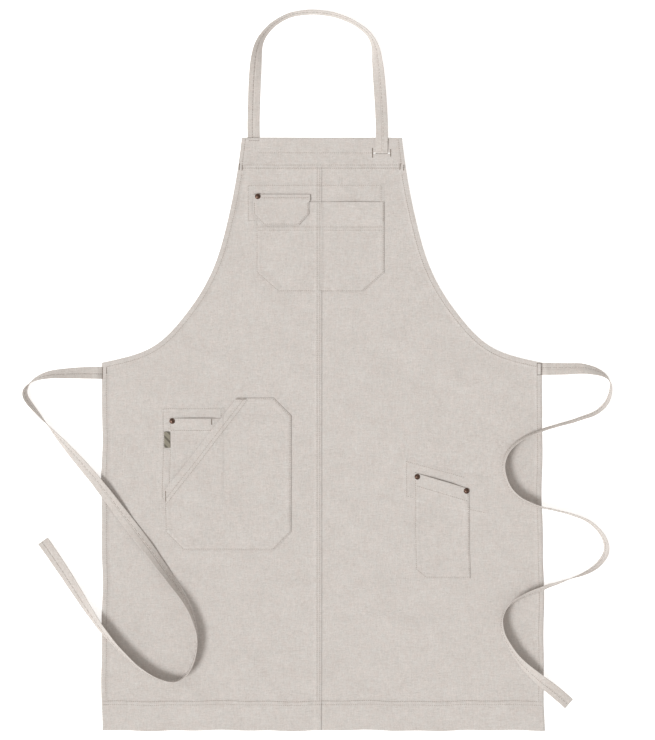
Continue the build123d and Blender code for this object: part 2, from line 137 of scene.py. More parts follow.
label_left, label_low, _, label_right, label_high, _ = extents("label")
FLAP_ROW = hinge_y + 3.7
SLOT_X, SLOT_Y, SLOT_LENGTH, SLOT_WIDTH = 92.3, 433.7, 26.2, 1.8
SLOT_ROW = SLOT_Y + 0.4
slot_hole = [
    (SLOT_X + across * SLOT_LENGTH / 2, SLOT_Y + along * SLOT_WIDTH / 2)
    for across, along in ((-1, -1), (1, -1), (1, 1), (-1, 1))
]

FLAP_RIVET = (flap_left + 6.8, hinge_y + 5.8)
INNER_RIVET = (hip_left + 11.1, inner_y - 4.3)
TOOL_RIVETS = [(tool_left + 4.3, tool_y - 6.7), (tool_right - 4.1, tool_y - TOOL_SLANT - 3.4)]
RIVETS = [FLAP_RIVET, INNER_RIVET, *TOOL_RIVETS]


def cut_rectangle(left, right, low, high, cut):
    """Corners of a pocket, clockwise from its mouth, with both bottom corners cut."""
    run, rise = cut
    return [
        (left, high), (right, high), (right, low + rise), (right - run, low),
        (left + run, low), (left, low + rise),
    ]


chest_corners = cut_rectangle(chest_left, chest_right, chest_low, chest_y, CHEST_CUT)
flap_corners = [
    (flap_left, seam_high), (seam_right, seam_high), (seam_right, hinge_y), (flap_right, hinge_y - 3),
    (flap_right, flap_low + FLAP_CUT[1]), (flap_right - FLAP_CUT[0], flap_low),
    (flap_left + FLAP_CUT[0], flap_low), (flap_left, flap_low + FLAP_CUT[1]),
]
hip_corners = [
    (hip_left, hip_y - HIP_FALL), (hip_left + HIP_RUN, hip_y), (hip_right - HIP_CUT, hip_y),
    (hip_right, hip_y - HIP_CUT), (hip_right, hip_low + HIP_CUT), (hip_right - HIP_CUT, hip_low),
    (hip_left + HIP_CUT, hip_low), (hip_left, hip_low + HIP_CUT),
]
inner_corners = cut_rectangle(inner_left, inner_right, inner_low, inner_y, (INNER_CUT, INNER_CUT))
tool_corners = [
    (tool_left, tool_y), (tool_right, tool_y - TOOL_SLANT), (tool_right, tool_low),
    (tool_left + TOOL_CUT[0], tool_low), (tool_left, tool_low + TOOL_CUT[1]),
]


# ---- Plane geometry on arrays of points, in millimetres ----
def smooth(start, end, value):
    """0 before start, 1 past end, rising smoothly; start may be the larger."""
    share = np.clip((value - start) / (end - start), 0, 1)
    return share * share * (3 - 2 * share)


def distance(x, y, line, closed=False):
    """Distance of each point from a line of straight runs."""
    corners = np.array(line + line[:1] if closed else line, float)
    nearest = np.full(np.shape(x), 1e9)
    for start, end in zip(corners, corners[1:]):
        along = end - start
        share = ((x - start[0]) * along[0] + (y - start[1]) * along[1]) / max(along @ along, 1e-12)
        share = np.clip(share, 0, 1)
        gap = np.hypot(x - start[0] - share * along[0], y - start[1] - share * along[1])
        nearest = np.minimum(nearest, gap)
    return nearest


def inside(x, y, corners):
    """Whether each point lies within a closed outline."""
    found = np.zeros(np.shape(x), bool)
    for (ax, ay), (bx, by) in zip(corners, corners[1:] + corners[:1]):
        if ay != by:
            crosses = (ay > y) != (by > y)
            found ^= crosses & (x < (bx - ax) * (y - ay) / (by - ay) + ax)
    return found


def depth_in(x, y, corners):
    """Distance of each point inwards from a closed outline; less than 0 outside it."""
    edge = distance(x, y, corners, closed=True)
    return np.where(inside(x, y, corners), edge, -edge)


def drawn_in(corners, amount):
    """A closed outline moved inwards by amount all round."""
    spots = np.array(corners, float)
    after = np.roll(spots, -1, axis=0) - spots
    after /= np.linalg.norm(after, axis=1)[:, None]
    before = np.roll(after, 1, axis=0)
    ahead = np.roll(spots, -1, axis=0)
    turn = np.sign(np.sum(spots[:, 0] * ahead[:, 1] - ahead[:, 0] * spots[:, 1]))
    normals = [turn * np.stack([-edge[:, 1], edge[:, 0]], axis=1) for edge in (before, after)]
    reach = 1 + np.sum(normals[0] * normals[1], axis=1)
    moved = spots + amount * (normals[0] + normals[1]) / reach[:, None]
    return [tuple(spot) for spot in moved]


def stepped(line, pitch, closed=True):
    """Points along a line of straight runs, no further apart than pitch."""
    ends = line[1:] + line[:1] if closed else line[1:]
    spots = []
    for start, end in zip(line, ends):
        start, end = np.array(start, float), np.array(end, float)
        count = max(1, ceil(np.linalg.norm(end - start) / pitch))
        spots += [tuple(start + (end - start) * i / count) for i in range(count)]
    if not closed:
        spots.append(tuple(line[-1]))
    return spots


def mirrored(line):
    """The same line on the apron's other side."""
    return [(-x, y) for x, y in line]


# ---- How the cloth lies: one gentle height that every layer shares ----
# Each swell: height, wave across, wave along the apron (turns per metre), and its phase.
SWELLS = [
    (0.34, 3.1, 1.3, 0.4), (0.30, -2.2, 3.4, 2.1), (0.22, 6.3, -2.6, 1.2), (0.20, 4.4, 6.1, 4.0),
    (0.13, -9.5, 5.2, 0.9), (0.12, 8.1, 11.3, 3.3), (0.07, 17.0, -9.0, 5.1), (0.06, -13.0, 19.0, 2.6),
]
# Each soft crease: its two ends, half width and height.
CREASES = [
    ((15, 402), (62, 340), 4.0, 0.40), ((60, 408), (112, 330), 6.0, 0.35),
    ((96, 312), (140, 318), 3.0, 0.45), ((-250, 150), (-120, 96), 9.0, 0.50),
    ((90, 150), (250, 60), 10.0, 0.45), ((-60, -230), (140, -300), 12.0, 0.55),
    ((120, -20), (60, -170), 8.0, 0.40), ((-300, -60), (-262, -210), 8.0, 0.45),
    ((-130, 300), (-150, 190), 6.0, 0.40), ((150, 260), (120, 170), 7.0, 0.40),
    ((250, -150), (330, -250), 8.0, 0.40), ((-180, -260), (-60, -420), 9.0, 0.45),
]
chest_patch = cut_rectangle(-113.6, 91.5, chest_y - 29.4, chest_y + 25.5, (0.1, 0.1))
hip_patch = cut_rectangle(-245.4, -156.0, hip_y - 155.3, hip_y - 17.3, (0.1, 0.1))
tool_patch = [
    (130.9, tool_y + 16.7), (221.0, tool_y - 7.8), (251.0, tool_y - 9.8),
    (251.0, tool_y - 62.0), (130.9, tool_y - 36.7),
]


def side_distance(x, y):
    """Distance from the nearer side edge or armhole."""
    line = [(half_width, hem_y - 60), *armhole]
    return distance(np.abs(x), y, line)


def doubled(x, y):
    """1 where hems, facings or patches lie behind the body cloth, 0 where it is single."""
    edge = smooth(SIDE_HEM + 1.2, SIDE_HEM - 0.6, side_distance(x, y))
    hem = smooth(hem_y + BOTTOM_HEM + 2.4, hem_y + BOTTOM_HEM + 0.4, y)
    band = smooth(band_y - 3.2, band_y - 1.2, y)
    thick = np.maximum(np.maximum(edge, hem), band)
    for corners in (chest_patch, hip_patch, tool_patch):
        thick = np.maximum(thick, smooth(-4.6, -2.4, depth_in(x, y, corners)))
    return thick


LOFT = 0.9  # mean height of the cloth over its flat level
CALM = 26.0  # how far round a rivet the cloth is held flat


def lay(x, y):
    """Height of the lie of the cloth over its flat level."""
    swell = sum(
        height * np.sin(2 * pi * (across * x + along * y) * MM + phase)
        for height, across, along, phase in SWELLS
    )
    for start, end, width, height in CREASES:
        swell = swell + height * np.exp(-((distance(x, y, [start, end]) / width) ** 2))
    calm = np.ones(np.shape(x))
    for rivet_x, rivet_y in RIVETS:
        calm = calm * (1 - np.exp(-((x - rivet_x) ** 2 + (y - rivet_y) ** 2) / CALM**2))
    ease = smooth(0, 60, side_distance(x, y)) * 0.7 + 0.3
    return np.maximum(LOFT + swell, 0.0) * calm * ease


def seam_ridge(x, y):
    """The felled centre seam: four layers on its left side, then a step down."""
    return 0.75 * smooth(-11.5, -9.0, x) * (x <= 0.0) * smooth(band_y + 1, band_y - 4, y)


def groove(offset, depth=0.26, width=0.75):
    """Cloth pulled down along a row of stitching, where offset is the distance from the row."""
    return depth * np.exp(-((offset / width) ** 2))


def pucker(along, offset, seed, height=0.16):
    """Small drawn-up ripples beside a row of stitching."""
    ripple = np.sin(along * 0.41 + 1.7 * np.sin(along * 0.093 + seed)) * np.sin(along * 0.173 + seed)
    return height * ripple * np.exp(-((offset / 5.0) ** 2))


def body_top(x, y):
    """Upper face of the body cloth."""
    edge = side_distance(x, y)
    z = TOP + lay(x, y) - 0.75 * (1 - doubled(x, y)) + seam_ridge(x, y)
    z = z - groove(edge - EDGE_ROW) * (y < band_y) + pucker(y + 0.7 * x, edge - EDGE_ROW, 1.0)
    for place in HEM_ROWS:
        z = z - groove(y - place)
    z = z + pucker(x, y - HEM_ROWS[0], 3.0, 0.22)
    for place in SEAM_ROWS:
        z = z - groove(x + place, 0.2) * (y < band_y)
    z = z + pucker(y, x + SEAM_ROWS[0], 2.0, 0.14)
    z = z + pucker(x, y - band_y, 5.0, 0.2) - groove(y - BAND_SEAM, 0.2)
    for corners in (chest_patch, hip_patch, tool_patch):
        z = z - groove(distance(x, y, corners, closed=True), 0.22)
    return z


def body_bottom(x, y):
    """Underside of the body cloth, with its side and bottom hems folded behind."""
    edge = side_distance(x, y)
    side = smooth(SIDE_HEM + 0.6, SIDE_HEM - 0.2, edge) * smooth(facing_low_y + 1, facing_low_y - 1, y)
    hem = smooth(hem_y + BOTTOM_HEM + 0.8, hem_y + BOTTOM_HEM - 0.2, y)
    depth = CLOTH + (SHEET - 0.1) * np.maximum(side, hem)
    for sign, tie_y in ((-1, TIE_Y[0]), (1, TIE_Y[1])):
        clear = (np.abs(y - tie_y) < 11) & (sign * x > half_width - 11)
        depth = np.where(clear, 0.5, depth)
    return np.maximum(body_top(x, y) - depth, 0.03)


# ---- Cords: the neck strap and two waist ties, one tape folded double ----
TAPE, TAPE_WIDTH, EDGE_RIPPLE = 1.2, 19.0, 0.12
TIE_Y = (94.3, 100.8)
STRAP_ROUTE = [
    (-0.1045, 0.440, 0.0007), (-0.106, 0.468, 0.0007), (-0.105, 0.512, 0.0015), (-0.103, 0.564, 0.0045),
    (-0.097, 0.614, 0.009), (-0.060, 0.649, 0.0095), (-0.009, 0.656, 0.0095), (0.041, 0.645, 0.0095),
    (0.081, 0.615, 0.009), (0.087, 0.564, 0.006), (0.091, 0.512, 0.0055), (0.093, 0.468, 0.0072),
    (0.0923, 0.4363, 0.0044),
]
LEFT_ROUTE = [
    (-0.3315, 0.0943, 0.0007), (-0.375, 0.095, 0.0007), (-0.438, 0.091, 0.004), (-0.464, 0.065, 0.009),
    (-0.440, 0.034, 0.0095), (-0.408, -0.003, 0.008), (-0.374, -0.042, 0.007), (-0.340, -0.082, 0.008),
    (-0.305, -0.129, 0.006), (-0.269, -0.174, 0.005), (-0.235, -0.221, 0.006), (-0.202, -0.267, 0.009),
    (-0.187, -0.326, 0.0125), (-0.213, -0.386, 0.013), (-0.267, -0.374, 0.0125), (-0.314, -0.331, 0.011),
    (-0.350, -0.287, 0.008), (-0.382, -0.237, 0.003), (-0.411, -0.193, 0.0012), (-0.431, -0.165, 0.0008),
]
RIGHT_ROUTE = [
    (0.3315, 0.1008, 0.0007), (0.367, 0.100, 0.0007), (0.412, 0.102, 0.003), (0.450, 0.085, 0.0085),
    (0.438, 0.038, 0.0095), (0.388, 0.020, 0.0095), (0.349, 0.010, 0.0105), (0.301, -0.008, 0.0125),
    (0.275, -0.042, 0.013), (0.289, -0.089, 0.013), (0.328, -0.111, 0.0125), (0.371, -0.119, 0.0105),
    (0.419, -0.135, 0.0095), (0.445, -0.175, 0.0095), (0.422, -0.209, 0.0095), (0.372, -0.227, 0.010),
    (0.332, -0.240, 0.012), (0.286, -0.261, 0.013), (0.273, -0.297, 0.013), (0.298, -0.343, 0.0115),
    (0.331, -0.375, 0.008), (0.363, -0.400, 0.003), (0.382, -0.417, 0.0008),
]
# How far the tape leans over at each point of its route, in degrees.
STRAP_LEAN = [0, 0, -3, -10, -66, -77, -77, -78, -75, -18, -4, 0, 0]
LEFT_LEAN = [-3, -22, -62, -112, -105, -62, -32, -22, -5, 22, 50, 74, 98, 96, 72, 66, 48, 25, 12, 8]
RIGHT_LEAN = [
    0, 14, 35, 88, 108, 102, 99, 98, 102, 100, 99, 99, 102, 108, 108, 74, 61, 74, 100, 112, 150, 178, 184
]


def nurbs_points(points):
    """Points along the smooth line of a route, as Blender evaluates it."""
    curve = bpy.data.curves.new("route", "CURVE")
    curve.dimensions = "3D"
    curve.resolution_u = 24
    spline = curve.splines.new("NURBS")
    spline.points.add(len(points) - 1)
    for control, point in zip(spline.points, points):
        control.co = (*point, 1.0)
    spline.order_u = 3
    spline.use_endpoint_u = True
    line = bpy.data.objects.new("route", curve)
    bpy.context.scene.collection.objects.link(line)
    bpy.context.view_layer.update()
    mesh = bpy.data.meshes.new_from_object(line)
    found = np.array([vertex.co for vertex in mesh.vertices], float)
    bpy.data.objects.remove(line)
    bpy.data.curves.remove(curve)
    bpy.data.meshes.remove(mesh)
    return found


def unit(directions):
    """Each direction at a length of 1."""
    return directions / np.linalg.norm(directions, axis=1)[:, None]


def tape_frame(centre, lean):
    """Three directions at each point of a tape: ahead, across it, and out of its upper face."""
    ahead = unit(np.gradient(centre, axis=0))
    right = unit(np.stack([ahead[:, 1], -ahead[:, 0], np.zeros(len(ahead))], axis=1))
    up = np.cross(right, ahead)
    level, steep = np.cos(lean)[:, None], np.sin(lean)[:, None]
    return ahead, level * right + steep * up, level * up - steep * right


def tape_section():
    """Half the tape's outline: places across it, and their heights, sunk where it is folded double."""
    half, rise = TAPE_WIDTH / 2, TAPE / 2
    across = [-half, -half + 0.12, -half + 0.5, -half + 1.3, -6.6, -3.6, -1.6, -0.9, -0.55, -0.2, 0.3,
              1.8, 4.2, 6.8, half - 1.3, half - 0.5, half - 0.12]
    height = []
    for u in across:
        round_off = rise * (1 - min(1, (half - abs(u)) / rise)) ** 2
        fold = 0.5 * np.exp(-(((u + 0.55) / 0.45) ** 2))
        height.append(rise - round_off + 0.06 * cos(pi * u / half) - fold)
    height[0] = 0.0
    return across, height


def ribbon(name, centre, wide, out, material):
    """A tape swept along centre, thinner beneath, with faintly rippled edges."""
    places = []
    for side in (1, -1):
        for u, high in zip(*tape_section()):
            ripple = EDGE_RIPPLE * np.sin(np.arange(len(centre)) * 0.37 + u * side) * (abs(u) > 8)
            high = high if side == 1 else -min(high + 0.05, TAPE / 2)
            places.append(centre + wide * u * side + out * (high + ripple)[:, None])
    return swept(name, places, material)


def ground(x, y):
    """Height of what a tie lies on: the floor, or the apron's cloth."""
    within = inside(np.abs(x), y, [(0, hem_y), (half_width, hem_y), *armhole, (0, top_y)])
    edge = distance(np.abs(x), y, [(0, hem_y), (half_width, hem_y), *armhole])
    signed = np.where(within, edge, -edge)
    return (TOP + 0.15 + lay(x, y)) * smooth(-16, 2, signed)


STRAY = 3.6  # how far the lower right side lies outwards of a straight line


def settled(vertices):
    """Cloth as it has settled on the floor: its lower right side strays a little outwards."""
    moved = np.array(vertices, float)
    x, y = moved[:, 0].copy(), moved[:, 1].copy()
    share = np.clip(np.abs(x) / 340, 0, 1)
    ripple = 0.55 * np.sin(y / 17.0 + x / 90) + 0.8 * np.sin(y / 41.0 + 1.0)
    moved[:, 0] += share * (STRAY * smooth(40, -430, y) * (x > 0) + ripple * smooth(60, 30, y))
    low = smooth(-250, -430, y)
    moved[:, 1] += low * (0.7 * np.sin(x / 33.0) + 0.5 * np.sin(x / 12.0 + 2)) - 0.6 * low
    return moved


# ---- Meshes ----
def mesh_piece(name, vertices, faces, material):
    """A smooth-shaded mesh object from millimetres."""
    mesh = bpy.data.meshes.new(name)
    mesh.from_pydata((np.asarray(vertices) * MM).tolist(), [], [tuple(map(int, face)) for face in faces])
    mesh.polygons.foreach_set("use_smooth", [True] * len(mesh.polygons))
    mesh.materials.append(material)
    mesh.update()
    piece = bpy.data.objects.new(name, mesh)
    bpy.context.scene.collection.objects.link(piece)
    return piece


def ring_faces(count, sides, capped=True):
    """Faces of a tube of count rings with as many sides each, closed at both ends if capped."""
    faces = [
        (i * sides + k, i * sides + (k + 1) % sides, (i + 1) * sides + (k + 1) % sides, (i + 1) * sides + k)
        for i in range(count - 1) for k in range(sides)
    ]
    if capped:
        last = (count - 1) * sides
        faces += [tuple(reversed(range(sides))), tuple(last + k for k in range(sides))]
    return faces


def swept(name, places, material):
    """A closed tube, given each of its long lines."""
    rings = np.stack(places, axis=1)
    return mesh_piece(name, rings.reshape(-1, 3), ring_faces(*rings.shape[:2]), material)


def repeated(shapes, faces):
    """Vertices and faces of many shapes that share one set of faces."""
    size = len(shapes[0])
    return np.concatenate(shapes), [
        tuple(i * size + k for k in face) for i in range(len(shapes)) for face in faces
    ]


def flat_mesh(corners, pitch, rings, hole):
    """Spots and triangles that fill an outline, closest together beside its edge and its hole."""
    edges, spots = [], []

    def add_loop(loop, fixed=False):
        """Adds a closed ring of spots, joined by edges that the triangles keep to if it is fixed."""
        start = len(spots)
        spots.extend(loop)
        if fixed:
            edges.extend((start + i, start + (i + 1) % len(loop)) for i in range(len(loop)))

    add_loop(stepped(corners, pitch), fixed=True)
    for ring in rings:
        add_loop(stepped(drawn_in(corners, ring), pitch))
    if hole:
        add_loop(stepped(hole, pitch / 3), fixed=True)
        for ring in (0.1, 0.35, 1.0):
            add_loop(stepped(drawn_in(hole, -ring), pitch / 3))
    xs, ys = zip(*corners)
    grid_x, grid_y = np.meshgrid(
        np.arange(min(xs) + pitch / 2, max(xs), pitch), np.arange(min(ys) + pitch / 2, max(ys), pitch)
    )
    grid_x, grid_y = grid_x.ravel(), grid_y.ravel()
    keep = depth_in(grid_x, grid_y, corners) > max(rings) + 0.6 * pitch
    if hole:
        keep &= depth_in(grid_x, grid_y, hole) < -2.0
    spots.extend(zip(grid_x[keep], grid_y[keep]))
    found = delaunay_2d_cdt([Vector(spot) for spot in spots], edges, [], 0, 1e-5, False)
    flat = np.array([tuple(spot) for spot in found[0]], float)
    triangles = np.array([face for face in found[2] if len(face) == 3], int)
    middle = flat[triangles].mean(axis=1)
    keep = inside(middle[:, 0], middle[:, 1], corners)
    if hole:
        keep &= ~inside(middle[:, 0], middle[:, 1], hole)
    triangles = triangles[keep]
    a, b, c = (flat[triangles[:, i]] for i in range(3))
    area = (b[:, 0] - a[:, 0]) * (c[:, 1] - a[:, 1]) - (b[:, 1] - a[:, 1]) * (c[:, 0] - a[:, 0])
    triangles[area < 0] = triangles[area < 0][:, ::-1]
    triangles = triangles[np.abs(area) > 1e-9]
    used, numbers = np.unique(triangles, return_inverse=True)
    return flat[used], numbers.reshape(triangles.shape)


def cloth_piece(name, corners, top, bottom, material, pitch=2.5, rings=(), hole=None):
    """A piece of cloth with an upper and a lower face that meet in a rounded edge."""
    flat, triangles = flat_mesh(corners, pitch, (0.06, 0.2, 0.45, *rings), hole)
    x, y = flat.T
    edge = distance(x, y, corners, closed=True)
    if hole:
        edge = np.minimum(edge, distance(x, y, hole, closed=True))
    high, low = top(x, y), bottom(x, y)
    half = np.maximum((high - low) / 2, 0.02)
    share = np.clip(1 - edge / np.minimum(half, 0.75), 0, 1)
    inset = 1 - np.sqrt(np.maximum(1 - share**2, 0))
    middle = (high + low) / 2
    high, low = high - half * inset, low + half * inset
    rim = edge < 1e-4
    high[rim] = middle[rim]
    under = np.where(rim, np.arange(len(flat)), len(flat) + np.cumsum(~rim) - 1)
    vertices = settled(np.concatenate([np.stack([x, y, high], 1), np.stack([x, y, low], 1)[~rim]]))
    return mesh_piece(name, vertices, np.concatenate([triangles, under[triangles[:, ::-1]]]), material)


def cloth_sheet(corners):
    """Takes a piece of cloth's outline as an array of points and does nothing more with it."""
    spots = np.array(corners)


def add_cloth(node, corners, top, bottom, material, slot="linen", rests_on=(), **mesh):
    """A piece of cloth that stands for one CAD node, in place."""
    piece = finished(cloth_piece(f"{node}_cloth", corners, top, bottom, material, **mesh), slot, node)
    cloth_sheet(corners)


def finished(piece, slot, *nodes, body=BODY):
    """A piece in place: it rides on its body and stands for its CAD nodes; its slot is not used."""
    if body:
        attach(piece, body)
    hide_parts(*nodes)
    return piece


# ---- Stitches ----
STITCH, STITCH_GAP = 2.5, 0.75
THREAD, RISE = 0.30, 0.12  # the thread's radius, and its height over the cloth


def stitch_shape(length, radius):
    """One stitch lying along X: a thread that comes out of the cloth and dives back in."""
    along = [-0.5, -0.42, -0.2, 0.2, 0.42, 0.5]
    thick = [0.35, 0.85, 1.0, 1.0, 0.85, 0.35]
    sides = 6
    spots = []
    for place, size in zip(along, thick):
        sink = -radius * (2.0 * (2 * abs(place)) ** 3 - 0.5)
        for k in range(sides):
            turn = 2 * pi * k / sides
            spots.append((place * length, cos(turn) * radius * size, sin(turn) * radius * size + sink))
    return np.array(spots), ring_faces(len(along), sides)


def row(line, length=STITCH, space=STITCH_GAP):
    """Middle and direction of each stitch along a line."""
    spots = np.array(line, float)
    gaps = np.linalg.norm(np.diff(spots, axis=0), axis=1)
    far = np.concatenate([[0], np.cumsum(gaps)])
    count = max(1, int(far[-1] / (length + space)))
    places = (np.arange(count) + 0.5) * far[-1] / count
    found = []
    for place in places:
        i = min(np.searchsorted(far, place) - 1, len(gaps) - 1)
        ahead = (spots[i + 1] - spots[i]) / gaps[i]
        middle = spots[i] + ahead * (place - far[i])
        found.append((middle[0], middle[1], ahead[0], ahead[1], length))
    return found


def bar(start, end, width, pitch=0.62):
    """A bar tack: close stitches across the run from start to end."""
    start, end = np.array(start, float), np.array(end, float)
    ahead = (end - start) / np.linalg.norm(end - start)
    count = max(2, int(np.linalg.norm(end - start) / pitch))
    found = []
    for i in range(count):
        middle = start + (end - start) * (i + 0.5) / count
        slant = 0.22 if i % 2 else -0.22
        side = np.array([-ahead[1], ahead[0]]) + slant * ahead
        side /= np.linalg.norm(side)
        found.append((middle[0], middle[1], side[0], side[1], width))
    return found


def stitched(name, stitches, surface, material):
    """All stitches of one thread, laid on a surface, as one mesh."""
    places = np.array(stitches)
    height = surface(places[:, 0], places[:, 1]) + RISE
    ahead_height = surface(places[:, 0] + places[:, 2], places[:, 1] + places[:, 3]) + RISE
    slope = np.clip(ahead_height - height, -0.3, 0.3)
    shapes = []
    for (x, y, ax, ay, length), z, rise_on in zip(places, height, slope):
        shape, faces = stitch_shape(length, THREAD)
        wobble = 0.16 * sin(x * 1.7 + y * 2.3)
        ahead = np.array([ax * cos(wobble) - ay * sin(wobble), ax * sin(wobble) + ay * cos(wobble)])
        spots = np.empty_like(shape)
        spots[:, 0] = x + shape[:, 0] * ahead[0] - shape[:, 1] * ahead[1]
        spots[:, 1] = y + shape[:, 0] * ahead[1] + shape[:, 1] * ahead[0]
        spots[:, 2] = z + shape[:, 2] + shape[:, 0] * rise_on
        shapes.append(spots)
    vertices, faces = repeated(shapes, faces)
    return mesh_piece(name, settled(vertices), faces, material)


# ---- Materials ----
class Look:
    """A material as it is put together. Its patterns read the piece's own place, in metres."""

    def __init__(self, name):
        self.material = bpy.data.materials.new(name)
        self.material.use_nodes = True
        self.tree = self.material.node_tree
        self.shader = self.tree.nodes["Principled BSDF"]
        self.place = self.node("TexCoord").outputs["Object"]

    def node(self, kind, inputs=None, **settings):
        """A shader node with its settings, and its inputs set or linked."""
        made = self.tree.nodes.new("ShaderNode" + kind)
        for key, value in settings.items():
            setattr(made, key, value)
        for key, value in (inputs or {}).items():
            self.put(value, made, key)
        return made

    def put(self, value, target, key):
        """Links or sets one input of a node."""
        if isinstance(value, bpy.types.NodeSocket):
            self.tree.links.new(value, target.inputs[key])
        else:
            target.inputs[key].default_value = value

    def surface(self, **inputs):
        """Links or sets the shader's own inputs, whose spaces are written as underscores."""
        for key, value in inputs.items():
            self.put(value, self.shader, key.replace("_", " "))

    def maths(self, operation, first, second, clamp=False):
        """One calculation with two values."""
        return self.node("Math", {0: first, 1: second}, operation=operation, use_clamp=clamp).outputs[0]

    def total(self, *terms):
        """The sum of values, each with its weight."""
        found = None
        for value, weight in terms:
            part = self.maths("MULTIPLY", value, weight)
            found = part if found is None else self.maths("ADD", found, part)
        return found

    def mixed(self, share, first, second, blend="MIX"):
        """Two colours mixed by share."""
        made = self.node("Mix", {0: share, 6: first, 7: second}, data_type="RGBA", blend_type=blend)
        return made.outputs[2]

    def spread(self, value, low, high, start=0.0, end=1.0):
        """Maps low to high onto start to end."""
        limits = {"From Min": low, "From Max": high, "To Min": start, "To Max": end}
        return self.node("MapRange", {"Value": value, **limits}).outputs[0]

    def noise(self, scale, detail=2.0):
        """Noise whose grains are drawn out: scale is grains per metre along each axis."""
        place = self.node("Mapping", {"Vector": self.place, "Scale": scale}).outputs[0]
        inputs = {"Vector": place, "Scale": 1.0, "Detail": detail, "Roughness": 0.55}
        return self.node("TexNoise", inputs).outputs["Fac"]

    def bands(self, pitch, direction, place=None):
        """Even bands, one to each pitch."""
        inputs = {"Vector": self.place if place is None else place, "Scale": 0.1 * pi / pitch}
        return self.node("TexWave", inputs, bands_direction=direction).outputs["Fac"]

    def relief(self, height, strength, depth):
        """Raises and sinks the surface by height."""
        bump = self.node("Bump", {"Height": height, "Strength": strength, "Distance": depth})
        self.surface(Normal=bump.outputs[0])


def weave(look, pitch):
    """Height of a plain weave whose threads wander a little."""
    wander = look.node("TexNoise", {"Vector": look.place, "Scale": 140.0, "Detail": 3.0}).outputs["Color"]
    shift = look.node("VectorMath", {0: wander, 1: (0.5, 0.5, 0.5)}, operation="SUBTRACT")
    small = look.node("VectorMath", {0: shift.outputs[0], "Scale": 1.3 * MM}, operation="SCALE")
    moved = look.node("VectorMath", {0: look.place, 1: small.outputs[0]}, operation="ADD").outputs[0]
    across, along = (look.bands(pitch, direction, moved) for direction in "XY")
    cells = look.node("TexChecker", {"Vector": moved, "Scale": 1.0 / pitch}).outputs["Fac"]
    over = look.maths("MULTIPLY", across, cells)
    under = look.maths("MULTIPLY", along, look.maths("SUBTRACT", 1.0, cells))
    both = look.maths("MULTIPLY", look.maths("ADD", across, along), 0.22)
    return look.maths("ADD", look.maths("ADD", over, under), both)


def linen(name, colour, dark, pitch=0.72 * MM):
    """Plain-woven linen: uneven threads both ways, darker flecks and faint blotches."""
    look = Look(name)
    threads = weave(look, pitch)
    weft = look.noise((110.0, 1000.0, 120.0), 3.0)
    warp = look.noise((900.0, 100.0, 120.0), 3.0)
    grain = look.noise((430.0, 480.0, 300.0), 3.0)
    blotch = look.noise((26.0, 34.0, 20.0), 4.0)
    tint = look.noise((150.0, 130.0, 90.0), 3.0)
    fleck = look.noise((210.0, 640.0, 150.0), 1.0)
    streaks = look.total((weft, 0.38), (warp, 0.32), (grain, 0.42), (blotch, 0.16))
    cloth = look.mixed(look.spread(streaks, 0.36, 0.92), (*dark, 1), (*colour, 1))
    warm = look.mixed(tint, (1.045, 0.985, 0.970, 1), (0.965, 1.012, 1.025, 1))
    cloth = look.mixed(1.0, cloth, warm, "MULTIPLY")
    specks = look.spread(fleck, 0.67, 0.78, 0.0, 0.35)
    cloth = look.mixed(specks, cloth, (*[0.72 * value for value in dark], 1))
    gaps = look.spread(threads, 0.0, 0.7, 0.86, 1.03)
    look.surface(Base_Color=look.mixed(1.0, cloth, gaps, "MULTIPLY"))
    look.surface(Roughness=look.spread(grain, 0.3, 0.7, 0.78, 0.95))
    look.relief(look.total((threads, 0.5), (weft, 0.7), (warp, 0.5)), 0.45, 0.25 * MM)
    look.surface(Specular_IOR_Level=0.2, Sheen_Weight=0.12, Sheen_Roughness=0.6)
    return look.material


def thread_material(name, colour, dark):
    """Twisted sewing thread."""
    look = Look(name)
    ply = look.bands(0.34 * MM, "DIAGONAL")
    fuzz = look.noise((900.0, 900.0, 900.0))
    share = look.maths("MULTIPLY", look.maths("ADD", ply, fuzz), 0.6, clamp=True)
    look.surface(Base_Color=look.mixed(share, (*dark, 1), (*colour, 1)))
    look.surface(Roughness=look.maths("ADD", look.maths("MULTIPLY", fuzz, 0.3), 0.55))
    look.relief(ply, 0.5, 0.08 * MM)
    look.surface(Specular_IOR_Level=0.3)
    return look.material


def copper_material():
    """Antiqued copper: worn bright in patches, dark with patina elsewhere."""
    look = Look("antiqued_copper")
    patina = look.noise((700.0, 700.0, 700.0), 5.0)
    scratch = look.noise((4000.0, 500.0, 2000.0), 2.0)
    worn = look.spread(patina, 0.42, 0.62)
    look.surface(Base_Color=look.mixed(worn, (0.055, 0.034, 0.026, 1), (0.21, 0.130, 0.100, 1)))
    look.surface(Roughness=look.maths("ADD", look.maths("MULTIPLY", patina, 0.35), 0.22))
    look.relief(look.maths("ADD", patina, look.maths("MULTIPLY", scratch, 0.4)), 0.3, 0.12 * MM)
    look.surface(Metallic=1.0)
    return look.material


def label_material():
    """Woven label: fine ribbed ground with a plain darker bar pattern."""
    look = Look("woven_label")
    fuzz = look.noise((600.0, 900.0, 400.0), 3.0)
    bars = look.spread(look.bands(6.2 * MM, "DIAGONAL"), 0.72, 0.8)
    cloth = look.mixed(fuzz, (0.185, 0.165, 0.125, 1), (0.31, 0.285, 0.225, 1))
    cloth = look.mixed(look.maths("MULTIPLY", bars, 0.75), cloth, (0.07, 0.06, 0.045, 1))
    look.surface(Base_Color=cloth)
    look.surface(Roughness=look.maths("ADD", look.maths("MULTIPLY", fuzz, 0.3), 0.6))
    look.relief(look.bands(0.45 * MM, "Y"), 0.5, 0.12 * MM)
    return look.material


